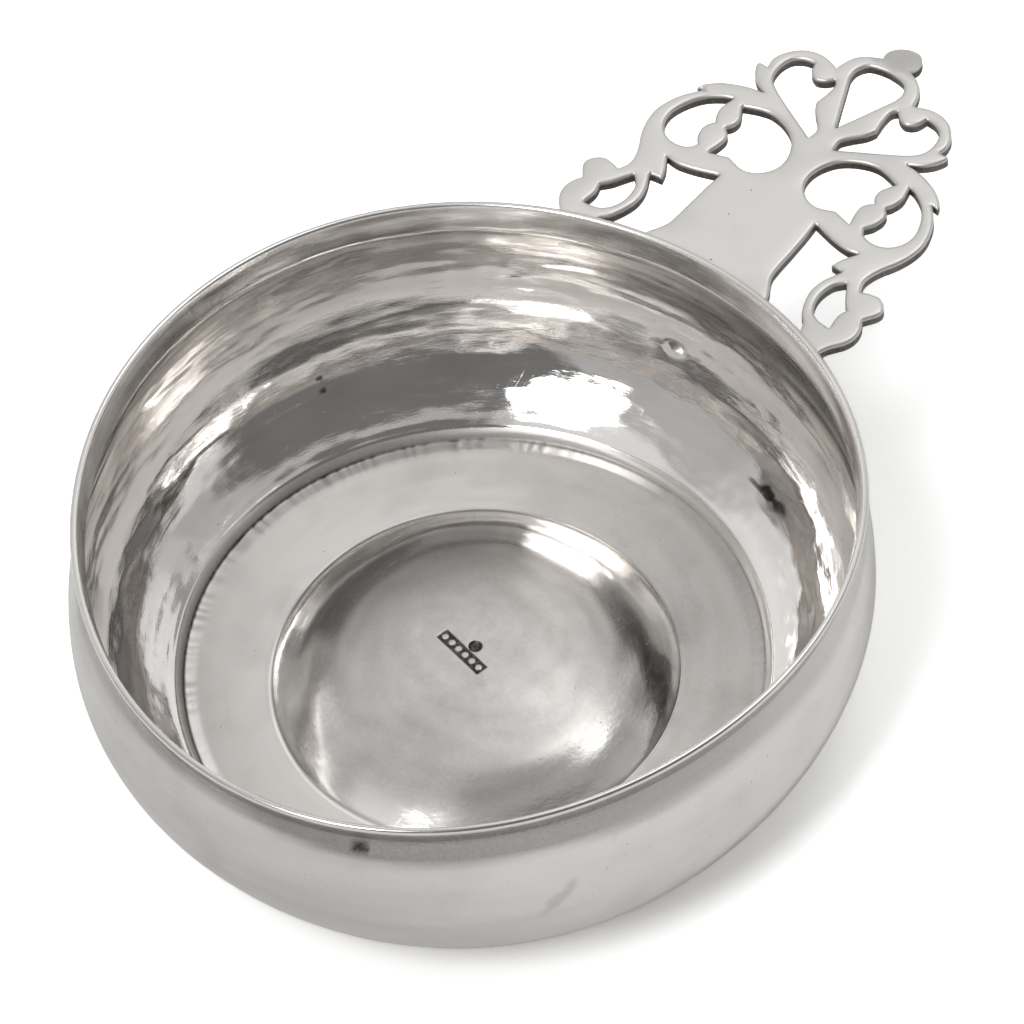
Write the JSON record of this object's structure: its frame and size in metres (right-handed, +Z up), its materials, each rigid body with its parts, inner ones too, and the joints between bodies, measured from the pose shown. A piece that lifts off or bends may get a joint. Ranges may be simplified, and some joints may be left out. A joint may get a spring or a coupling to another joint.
{
  "type": "porringer",
  "caption": "Shallow round silver bowl with a bellied wall, upright collar and domed centre, and one flat pierced handle soldered level with its rim.",
  "frame": {"origin": "on the table, under the middle of the whole piece", "axes": "+Z up, square to the flat ring that the bowl stands on; +Y from the bowl towards the handle's tip"},
  "size_m": [0.1356, 0.1914, 0.0463],
  "materials": {
    "raised_silver": "hammer-raised sheet silver, polished by hand, with fine scratches and a thin tarnish",
    "cast_silver": "cast, pierced and filed silver, worn to a soft satin, darker inside the piercings",
    "silver_solder": "silver solder, a little yellower and duller than the silver round it"
  },
  "bodies": {
    "root": {"bowl": "raised_silver", "handle": "cast_silver", "solder_seam_tongue": "silver_solder", "solder_seam_left": "silver_solder", "solder_seam_right": "silver_solder"}
  },
  "joints": []
}
